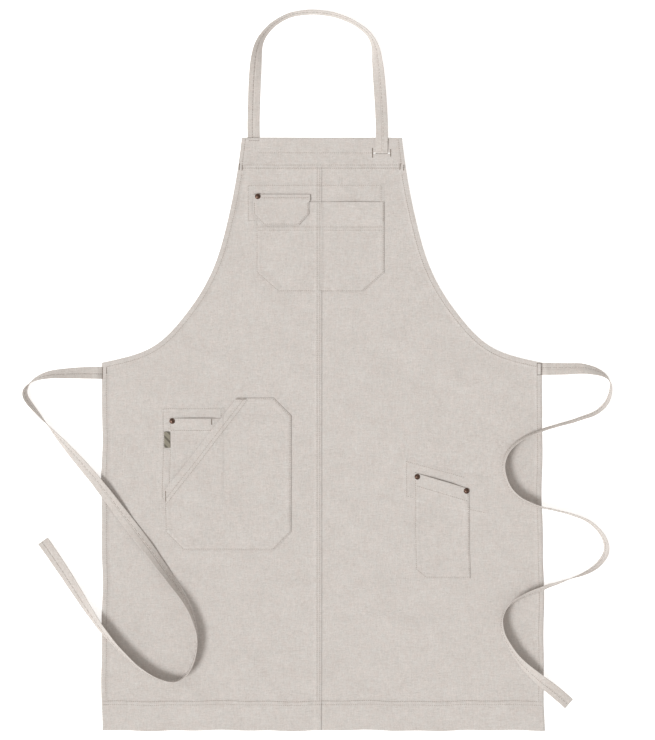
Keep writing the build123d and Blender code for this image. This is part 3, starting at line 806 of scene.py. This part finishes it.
body_linen = linen("body_linen", (0.690, 0.656, 0.628), (0.428, 0.391, 0.361))
tape_linen = linen("tape_linen", (0.690, 0.652, 0.620), (0.440, 0.400, 0.366), pitch=0.6 * MM)
facing_linen = linen("facing_linen", (0.680, 0.645, 0.610), (0.500, 0.460, 0.425), pitch=0.5 * MM)
seam_thread = thread_material("seam_thread", (0.400, 0.345, 0.300), (0.240, 0.195, 0.160))
tack_thread = thread_material("tack_thread", (0.270, 0.220, 0.185), (0.130, 0.100, 0.080))
copper = copper_material()
label_weave = label_material()


# ---- The cords, made first of the pieces ----
ARCH_DROP = 3.6  # how far the strap's arch lies below its CAD cord
FOLD_ROW = -1.9  # from the tape's middle to the stitches that close it
ROOT = 0.72  # height of a tie's middle where it is held between layers


def tie(cord, route, leans):
    """A free tape along its route, with the row of stitches that closes it on both faces."""
    centre = nurbs_points(route) / MM
    lean = np.radians(nurbs_points([(angle, 0, 0) for angle in leans])[:, 0])
    if cord == "neck_strap":
        centre[:, 1] -= ARCH_DROP * smooth(575, 645, centre[:, 1])
    else:
        held = smooth(half_width + 8, half_width - 2, np.abs(centre[:, 0])) * (centre[:, 1] > 60)
        lean = lean * (1 - held)
        reach = TAPE_WIDTH / 2 * np.abs(np.sin(lean)) + TAPE / 2 * np.abs(np.cos(lean))
        rest = ground(centre[:, 0], centre[:, 1]) + reach + 0.2
        centre[:, 2] = ROOT * held + rest * (1 - held)
    ahead, wide, out = tape_frame(centre, lean)
    piece = ribbon(f"{cord}_tape", centre, wide, out, tape_linen)
    run = np.concatenate([[0], np.cumsum(np.linalg.norm(np.diff(centre, axis=0), axis=1))])
    shape, shape_faces = stitch_shape(2.3, 0.26)
    stitches = []
    for place in np.arange(6.0, run[-1] - 3.0, 3.1):
        i = int(np.searchsorted(run, place))
        for side in (1, -1):
            middle = centre[i] + wide[i] * FOLD_ROW + out[i] * side * (TAPE / 2 + 0.02)
            across = (shape[:, 1:2] * wide[i] + shape[:, 2:] * out[i]) * side
            stitches.append(middle + shape[:, :1] * ahead[i] + across)
    sewn = mesh_piece(f"{cord}_stitches", *repeated(stitches, shape_faces), tack_thread)
    finished(piece, "tape", cord)
    finished(sewn, "thread")


tie("neck_strap", STRAP_ROUTE, STRAP_LEAN)
tie("left_tie", LEFT_ROUTE, LEFT_LEAN)
tie("right_tie", RIGHT_ROUTE, RIGHT_LEAN)

# The strap's tail goes down through the slot and lies behind the bib. Each point is a place up the
# apron and a height.
TAIL_ROUTE = [
    (437.6, 4.45), (436.0, 4.4), (434.9, 4.15), (434.0, 3.5), (433.7, 2.6), (433.4, 1.7), (432.4, 0.95),
    (430.6, 0.75), (420.0, 0.72), (406.0, 0.72), (393.2, 0.72),
]


def strap_tail():
    """The strap's end as a bent tape, square across."""
    path = np.array([(SLOT_X, y, z) for y, z in TAIL_ROUTE])
    wide = np.array([1.0, 0.0, 0.0])
    out = np.cross(wide, unit(np.gradient(path, axis=0)))
    out *= np.where(out[:, 2:] < -0.05, -1, 1)
    places = [
        path + wide * u * side + out * side * abs(high) * 0.98
        for side in (1, -1) for u, high in zip(*tape_section())
    ]
    return swept("strap_tail_tape", places, tape_linen)


finished(strap_tail(), "tape", "strap_tail")

# ---- Body panels ----
panel_top = top_y - 1.3
half_outline = [(0.0, hem_y), (half_width, hem_y), *armhole[:-1], (half_bib, panel_top), (0.0, panel_top)]
# How far in from their edges the meshes of cloth are closest.
EDGE_RINGS = (1.4, 3.2, 5.4, 6.7, 7.5, 8.3, 9.4, 10.6)
BAND_RINGS = (1.0, 1.9, 2.6, 3.4, 4.2, 5.6, 6.5, 7.4)
RIM_RINGS = (0.9, 1.7, 2.5, 3.3, 4.6, 6.4, 7.6, 8.8)
FLAP_RINGS = (0.7, 1.2, 1.9, 2.5, 3.2, 4.4)

for node, outline, hole in (
    ("left_panel", mirrored(half_outline), None), ("right_panel", half_outline, slot_hole),
):
    add_cloth(node, outline, body_top, body_bottom, body_linen, pitch=2.9, rings=EDGE_RINGS, hole=hole)
PANELS = ["left_panel_cloth", "right_panel_cloth"]


# ---- Bib band and facings ----
def band_top(x, y):
    """Upper face of the bib band, thicker at its turned lower edge."""
    edge = side_distance(x, y)
    z = TOP + lay(x, y) + 0.72 + 0.30 * smooth(band_y + 9, band_y + 7.4, y) + 0.3 * smooth(9.4, 8.0, edge)
    z = z - groove(y - BAND_ROW) - groove(edge - EDGE_ROW + 1.0) * (y > band_y + 3)
    z = z - groove(y - SLOT_ROW, 0.2) * smooth(-102, -96, x) * smooth(79, 75, x)
    return z + pucker(x, y - band_y - 3, 2.0, 0.2) + pucker(x, y - SLOT_Y, 7.0, 0.15)


def band_bottom(x, y):
    """Underside of the band, which wraps over the body's top edge."""
    wrap = smooth(top_y - 1.3, top_y - 0.9, y)
    return TOP + lay(x, y) + 0.02 - 1.4 * wrap


armhole_xs, armhole_ys = zip(*armhole)
band_x = float(np.interp(band_y, armhole_ys, armhole_xs))
bib_half = [(band_x, band_y), *[spot for spot in armhole if spot[1] > band_y + 0.5]]
band_corners = [*mirrored(bib_half)[::-1], *bib_half][::-1]
add_cloth("bib_band", band_corners, band_top, band_bottom, body_linen, rests_on=PANELS, pitch=2.0,
          rings=BAND_RINGS, hole=slot_hole)

facing_half = [(band_x - FACING - 0.3, band_y), (half_bib - FACING - 0.3, top_y - 1.4)]
facing_corners = [*mirrored(facing_half)[::-1], *facing_half][::-1]
add_cloth("bib_facing", facing_corners, lambda x, y: SHEET - 0.03 + lay(x, y),
          lambda x, y: SHEET - CLOTH + lay(x, y), facing_linen, "facing", pitch=4.0, hole=slot_hole)


def facing_top(x, y):
    """Upper face of an armhole facing, just under the body cloth."""
    return np.maximum(body_top(x, y) - CLOTH - 0.35, 0.6)


def facing_bottom(x, y):
    """Underside of an armhole facing, never below the floor."""
    return np.maximum(facing_top(x, y) - 1.9, 0.04)


# Each facing follows the armhole down to just above the tie.
facing_line = [(0.0, facing_low_y), (half_width, facing_low_y), *armhole, (0.0, top_y)]
inner_facing = drawn_in(facing_line, FACING)[1:-1]
outer_facing = drawn_in(facing_line, 0.5)[1:-1]
facing_run = sum(np.linalg.norm(np.subtract(a, b)) for a, b in zip(inner_facing, inner_facing[1:])) * MM
for side, tie_y in zip(("left", "right"), TIE_Y):
    ring = [spot for spot in [*outer_facing, *inner_facing[::-1]] if spot[1] > tie_y + TAPE_WIDTH / 2 + 0.6]
    ring = mirrored(ring) if side == "left" else ring
    node = f"{side}_armhole_facing"
    strip = cloth_piece(f"{node}_cloth", ring, facing_top, facing_bottom, facing_linen, 3.0)
    finished(strip, "facing", node)


# ---- Patches behind the pockets ----
def patch_top(x, y):
    """Upper face of a patch, just under the body cloth and the felled seam."""
    return np.maximum(body_top(x, y) - CLOTH - 0.05 - 0.7 * (np.abs(x + 3) < 11), 0.8)


def patch_bottom(x, y):
    """Underside of a patch."""
    return np.maximum(patch_top(x, y) - CLOTH, 0.06)


for name, corners in (("chest", chest_patch), ("hip", hip_patch), ("tool", tool_patch)):
    corners = drawn_in(corners, -3.0)
    add_cloth(f"{name}_pocket_backing", corners, patch_top, patch_bottom, body_linen, pitch=4.0)


# ---- Pockets ----
class Pocket:
    """A patch pocket, sewn down along every edge but its first, the mouth."""

    def __init__(self, corners, base, rows, gape, rib=None):
        """base is what it lies on, gape how far the mouth opens, and rib where it is sewn through."""
        self.corners, self.base, self.rows, self.gape, self.rib = corners, base, rows, gape, rib
        self.mouth = corners[:2]

    def gaps(self, x, y):
        """Distance from the sewn edges, and from the mouth."""
        return distance(x, y, self.corners[1:] + self.corners[:1]), distance(x, y, self.mouth)

    def layers(self, x, y):
        """How much cloth is folded under the front, from 0 to 1."""
        edge, mouth = self.gaps(x, y)
        hem = self.rows[-1] + HEM_MARGIN
        turned = 0.6 * smooth(TURNING + 2.0, TURNING - 1.5, edge)
        return np.maximum(turned, smooth(hem + 0.7, hem - 0.5, mouth))

    def lift(self, x, y):
        """How far the front stands off what it lies on."""
        edge, mouth = self.gaps(x, y)
        share = smooth(1, 34, edge) * np.exp(-((mouth / 20.0) ** 2))
        if self.rib is not None:
            share = share * smooth(3, 24, np.abs(x - self.rib))
        return self.gape(x, y) * share

    def top(self, x, y):
        """Upper face of the pocket's front."""
        edge, mouth = self.gaps(x, y)
        z = self.base(x, y) + CLOTH + 0.08 + 0.62 * self.layers(x, y) + self.lift(x, y)
        z = z - groove(edge - RIM_ROW, 0.3) + pucker(x + y, edge - RIM_ROW, 1.5, 0.14)
        for place in self.rows:
            z = z - groove(mouth - place, 0.24)
        return z + pucker(x + 0.5 * y, mouth - self.rows[0], 0.5, 0.16)

    def bottom(self, x, y):
        """Underside of the pocket's front."""
        return self.base(x, y) + self.lift(x, y) + 0.03


def hip_base(x, y):
    """What the hip pocket's front lies on: the inner pocket, or the body at its own rim."""
    depth = depth_in(x, y, inner_corners)
    mouth_hem = 0.55 * smooth(26, 12, inner_y - y) * smooth(-9, 6, depth)
    return body_top(x, y) + 0.9 * smooth(-14, 7, depth) + mouth_hem


chest = Pocket(
    chest_corners, body_top, CHEST_ROWS, lambda x, y: 0.2 + 1.2 * smooth(10, 40, x), rib=-5.0
)
inner = Pocket(inner_corners, body_top, (INNER_ROW,), lambda x, y: 2.2 * smooth(-158, -176, x))
hip = Pocket(hip_corners, hip_base, HIP_ROWS, lambda x, y: 0.8)
tool = Pocket(tool_corners, body_top, (TOOL_ROW,), lambda x, y: 2.3)

for node, made, pitch in (
    ("chest_pocket", chest, 1.8), ("inner_pocket", inner, 1.8), ("hip_pocket", hip, 1.9),
    ("tool_pocket", tool, 1.5),
):
    add_cloth(node, made.corners, made.top, made.bottom, body_linen, rests_on=PANELS, pitch=pitch,
              rings=RIM_RINGS)


# ---- Flap: one folded piece, sewn down above its hinge line ----
def flap_top(x, y):
    """Upper face of the flap's seam and leaf."""
    seam = smooth(hinge_y - 1, hinge_y + 1.5, y)
    edge = distance(x, y, flap_corners, closed=True)
    z = flap_z - 0.1 + lay(x, y) * 0.6 - 0.9 * seam * smooth(hinge_y, seam_high, y)
    z = z + 0.75 * smooth(hinge_y - 8, flap_low, y) - groove(edge - RIM_ROW, 0.22) * (y < hinge_y - 2)
    z = z - groove(y - FLAP_ROW, 0.2) * (x > FLAP_RIVET[0] + 4)
    return z + pucker(x - y, edge - RIM_ROW, 2.2, 0.12)


def flap_bottom(x, y):
    """Underside: down on the body above the hinge, free over the pocket below it."""
    seam = smooth(hinge_y - 0.6, hinge_y + 1.8, y)
    return (flap_top(x, y) - 2 * CLOTH) * (1 - seam) + (body_top(x, y) + 0.05) * seam


def crossing(piece):
    """Bakes a flap piece's transform into its mesh."""
    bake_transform(piece)


flap = cloth_piece("pocket_flap_cloth", flap_corners, flap_top, flap_bottom, body_linen, 1.3, FLAP_RINGS)
finished(flap, "linen", "pocket_flap", "flap_seam", body=None)
cloth_sheet(flap_corners)
crossing(flap)


# ---- Label ----
def label_top(x, y):
    """The folded label, lying over the inner pocket's edge."""
    return np.maximum(inner.top(x, y), body_top(x, y) + 1.1) + 0.55 + 0.12 * np.sin(y * 0.21)


label_corners = [
    (label_left, label_low), (label_right, label_low), (label_right, label_high), (label_left, label_high)
]
add_cloth("label", label_corners, label_top, lambda x, y: label_top(x, y) - 0.5, label_weave, "label",
          ["inner_pocket_cloth"], pitch=1.0)


# ---- Rivets ----
def revolved(profile, places, sides=40):
    """One turned shape at several places: profile is radius and height, from its lower end up."""
    vertices, faces = [], []
    for x, y, z in places:
        start = len(vertices)
        for radius, height in profile:
            for k in range(sides):
                turn = 2 * pi * k / sides
                vertices.append((x + radius * cos(turn), y + radius * sin(turn), z + height))
        for face in ring_faces(len(profile), sides, capped=False):
            faces.append(tuple(start + i for i in face))
    return vertices, faces


CAP_PROFILE = [
    (0.02, -2.0), (1.5, -2.0), (1.5, -0.05), (4.1, -0.05), (4.4, 0.12), (4.42, 0.38), (4.2, 0.58),
    (3.75, 0.62), (3.45, 0.56), (3.25, 0.62), (2.9, 0.98), (2.3, 1.32), (1.5, 1.55), (0.8, 1.63),
    (0.02, 1.65),
]
BACK_PROFILE = [
    (0.02, 0.2), (1.0, 0.16), (1.3, 0.02), (3.7, 0.02), (4.0, 0.15), (4.0, 0.55), (3.8, 0.7), (0.02, 0.7),
]
cap_places = [
    (x, y, float(surface(np.array([x]), np.array([y]))[0]) - 0.05)
    for (x, y), surface in zip(RIVETS, (flap_top, inner.top, tool.top, tool.top))
]
caps = mesh_piece("rivet_caps_metal", *revolved(CAP_PROFILE, cap_places), copper)
finished(caps, "rivet", "rivet_caps", "rivet_posts")
backs = mesh_piece("rivet_backs_metal", *revolved(BACK_PROFILE, [(x, y, 0.0) for x, y in RIVETS]), copper)
finished(backs, "rivet", "rivet_backs")


# ---- Stitching ----
def sew(name, stitches, surface, *nodes, thread=seam_thread):
    """One thread's stitches, as a piece that stands for its CAD nodes."""
    finished(stitched(name, stitches, surface, thread), "thread", *nodes)


def rows(lines, **spacing):
    """The stitches of several open lines."""
    return [stitch for line in lines for stitch in row(line, **spacing)]


def outside_of(stitches, *outlines):
    """Leaves out the stitches that another piece of cloth covers."""
    places = np.array(stitches)
    keep = np.ones(len(places), bool)
    for corners in outlines:
        keep &= ~inside(places[:, 0], places[:, 1], drawn_in(corners, -1.2))
    return [stitch for stitch, kept in zip(stitches, keep) if kept]


RIVET_CLEAR = 5.2  # from a rivet's middle to the nearest stitch


def clear_of(stitches, *rivets):
    """Leaves out the stitches under a rivet."""
    return [
        stitch for stitch in stitches
        if all(np.hypot(stitch[0] - x, stitch[1] - y) > RIVET_CLEAR for x, y in rivets)
    ]


ABOVE_HEM = HEM_ROWS[1] + 1.5  # where the rows that run up the apron start
side_edge = drawn_in([(0.0, hem_y - 100), (half_width, hem_y - 100), *armhole, (0.0, top_y)], EDGE_ROW)
side_edge = [spot for spot in side_edge[2:-1] if spot[1] < band_y - 2]
side_edge = [(half_width - EDGE_ROW, ABOVE_HEM), *side_edge]
sew("edge_stitches", rows([side_edge, mirrored(side_edge)]), body_top, "edge_thread")

tacks_end = SIDE_HEM - half_width + 3
hem_lines = [[(tacks_end, y), (half_width - SIDE_HEM + 6, y)] for y in HEM_ROWS]
sew("bottom_hem_stitches", rows(hem_lines), body_top, "bottom_hem_thread")
tack_lines = [[(1.5 - half_width, y), (tacks_end, y)] for y in HEM_ROWS]
sew("hem_tack_stitches", rows(tack_lines, length=2.2, space=0.1), body_top, "hem_bar_tacks",
    thread=tack_thread)

seam_lines = [[(-place, ABOVE_HEM), (-place, band_y - 2.5)] for place in SEAM_ROWS]
sew("centre_seam_stitches", outside_of(rows(seam_lines), chest_corners), body_top, "centre_seam_thread")

for name, line, covers in (
    ("chest", chest_patch + chest_patch[:1], (chest_corners, flap_corners)),
    ("hip", hip_patch + hip_patch[:1], (inner_corners, hip_corners)),
    ("tool", tool_patch[3:] + tool_patch[:2], (tool_corners,)),
):
    sew(f"{name}_backing_stitches", outside_of(row(line), *covers), body_top, f"{name}_backing_thread")

bib_rows = drawn_in([(0.0, 0.0), *bib_half, (0.0, top_y)], EDGE_ROW - 1.0)[1:-1]
bib_rows = [(bib_rows[0][0], band_y + 4), (bib_rows[-1][0], top_y - 2)]
band_stitches = rows([
    [(3 - half_bib, BAND_ROW), (half_bib - 3, BAND_ROW)], bib_rows, mirrored(bib_rows),
    [(-98, SLOT_ROW), (SLOT_X - SLOT_LENGTH / 2 - 2, SLOT_ROW)],
])
sew("bib_band_stitches", band_stitches, band_top, "bib_band_thread")
band_seam = row([(1 - half_bib, BAND_SEAM), (half_bib - 1, BAND_SEAM)])
sew("band_seam_stitches", band_seam, body_top, "band_seam_thread")

band_ends = []
for x, low, high in ((-127.6, -4.0, 6.0), (-123.2, -5.0, 4.0), (120.5, -4.0, 6.0), (126.2, -5.0, 4.0)):
    band_ends += bar((x, band_y + low), (x + 0.6, band_y + high), 1.4)
sew("band_end_tacks", band_ends, lambda x, y: np.where(y > band_y, band_top(x, y), body_top(x, y)),
    thread=tack_thread)
slot_bars = []
for end, reach in ((-1, 8.1), (1, 6.2)):
    x = SLOT_X + end * (SLOT_LENGTH / 2 + 0.9)
    slot_bars += bar((x, SLOT_Y - reach + 1), (x, SLOT_Y + reach), 1.8)
sew("slot_bar_stitches", slot_bars, band_top, "slot_bar_tacks", thread=tack_thread)
anchor_row = row([(-113.0, top_y - 4.0), (-96.0, top_y - 4.4)], length=2.2, space=0.25)
sew("strap_anchor_stitches", anchor_row, band_top, "strap_anchor_thread", thread=tack_thread)


def pocket_stitches(pocket):
    """The row round a pocket's sewn edges and the rows across its hem."""
    line = drawn_in(pocket.corners, RIM_ROW)
    found = row(line[1:] + line[:1])
    start, end = (np.array(spot) for spot in pocket.mouth)
    ahead = (end - start) / np.linalg.norm(end - start)
    inward = np.array([ahead[1], -ahead[0]])
    for place in pocket.rows:
        a, b = start + inward * place - ahead * 400, end + inward * place + ahead * 400
        spots = stepped([tuple(a), tuple(b)], 1.0, closed=False)
        x, y = np.array(spots).T
        kept = inside(x, y, drawn_in(pocket.corners, RIM_ROW + 0.6))
        line = [spot for spot, within in zip(spots, kept) if within]
        found += row([line[0], line[-1]])
    return found


chest_seam = rows([[(-place, chest_low + 2.5), (-place, chest_y - 2)] for place in SEAM_ROWS])
chest_stitches = outside_of(pocket_stitches(chest) + chest_seam, drawn_in(flap_corners, 4.0))
sew("chest_pocket_stitches", chest_stitches, chest.top, "chest_pocket_thread")
sew("hip_pocket_stitches", pocket_stitches(hip), hip.top, "hip_pocket_thread")
mouth_x, mouth_y = hip.mouth[1]
hip_tacks = bar((mouth_x - 1, mouth_y - 2.2), (mouth_x + 16, mouth_y - 2.2), 1.6)
mouth_x, mouth_y = hip.mouth[0]
hip_tacks += bar((mouth_x + 2.0, mouth_y - 1), (mouth_x + 2.0, mouth_y - 17), 1.6)
sew("hip_pocket_tacks", hip_tacks, hip.top, thread=tack_thread)
inner_stitches = outside_of(pocket_stitches(inner), hip_corners, drawn_in(label_corners, -0.5))
sew("inner_pocket_stitches", clear_of(inner_stitches, INNER_RIVET), inner.top, "inner_pocket_thread")
inner_tacks = bar((inner_left + 66, inner_y - 1.0), (inner_left + 66, inner_y - 10), 1.8)
sew("inner_pocket_tacks", inner_tacks, inner.top, thread=tack_thread)
tool_stitches = clear_of(pocket_stitches(tool), *TOOL_RIVETS)
sew("tool_pocket_stitches", tool_stitches, tool.top, "tool_pocket_thread")

flap_line = drawn_in(flap_corners, RIM_ROW)
flap_stitches = row([(flap_line[3][0], hinge_y - 3.5), *flap_line[4:], (flap_line[7][0], hinge_y - 3.5)])
flap_stitches += row([(FLAP_RIVET[0] + 5, FLAP_ROW), (seam_right - 2.5, FLAP_ROW)])
flap_sewn = stitched("flap_stitches", flap_stitches, flap_top, seam_thread)
finished(flap_sewn, "thread", "flap_thread", "flap_seam_thread", body=None)
crossing(flap_sewn)

# Each tie's anchor: two short bars on the left, a sewn block on the right.
left_x, left_y = -half_width, TIE_Y[0]
right_x, right_y = half_width, TIE_Y[1] - 0.5
anchor_tacks = bar((left_x + 1.2, left_y - 9), (left_x + 1.2, left_y + 9), 1.6)
anchor_tacks += bar((left_x + 7.6, left_y - 1), (left_x + 7.6, left_y + 8), 1.3)
for x, width in ((right_x - 7.4, 1.1), (right_x - 1.2, 1.6)):
    anchor_tacks += bar((x, right_y - 9), (x, right_y + 9), width, pitch=0.8)
for y in (right_y - 9, right_y + 9):
    anchor_tacks += bar((right_x - 7.4, y), (right_x - 1.2, y), 1.1)
sew("tie_anchor_stitches", anchor_tacks, body_top, "tie_anchor_thread", thread=tack_thread)

# ---- Floor, world and light ----
FLOOR_SIZE, FLOOR_Z = 60.0 / MM, -0.1
floor_look = Look("pale_floor")
shade = floor_look.mixed(floor_look.noise((3.0, 3.0, 3.0), 3.0), (0.93, 0.93, 0.93, 1), (0.95, 0.95, 0.95, 1))
floor_look.surface(Base_Color=shade, Roughness=0.9, Specular_IOR_Level=0.0)
floor_look.surface(Emission_Color=(1.0, 1.0, 1.0, 1), Emission_Strength=0.50)
floor_corners = [
    (across * FLOOR_SIZE / 2, along * FLOOR_SIZE / 2, FLOOR_Z)
    for across, along in ((-1, -1), (1, -1), (1, 1), (-1, 1))
]
mesh_piece("floor", floor_corners, [(0, 1, 2, 3)], floor_look.material)

SKY_COLOUR, SKY_STRENGTH = (1.0, 0.962, 0.925, 1), 0.64
world = bpy.data.worlds.new("studio")
bpy.context.scene.world = world
world.use_nodes = True
background = world.node_tree.nodes["Background"]
background.inputs["Color"].default_value = SKY_COLOUR
background.inputs["Strength"].default_value = SKY_STRENGTH

KEY_COLOUR, KEY_STRENGTH, KEY_SPREAD = (0.97, 0.99, 1.0), 2.25, radians(20.0)
KEY_AZIMUTH, KEY_ELEVATION = radians(211.0), radians(52.0)
sun_data = bpy.data.lights.new("key", "SUN")
sun_data.energy = KEY_STRENGTH
sun_data.angle = KEY_SPREAD
sun_data.color = KEY_COLOUR
sun = bpy.data.objects.new("key", sun_data)
flat = cos(KEY_ELEVATION)
toward = Vector((flat * cos(KEY_AZIMUTH), flat * sin(KEY_AZIMUTH), sin(KEY_ELEVATION)))
sun.rotation_mode = "QUATERNION"
sun.rotation_quaternion = toward.to_track_quat("Z", "Y")
bpy.context.scene.collection.objects.link(sun)
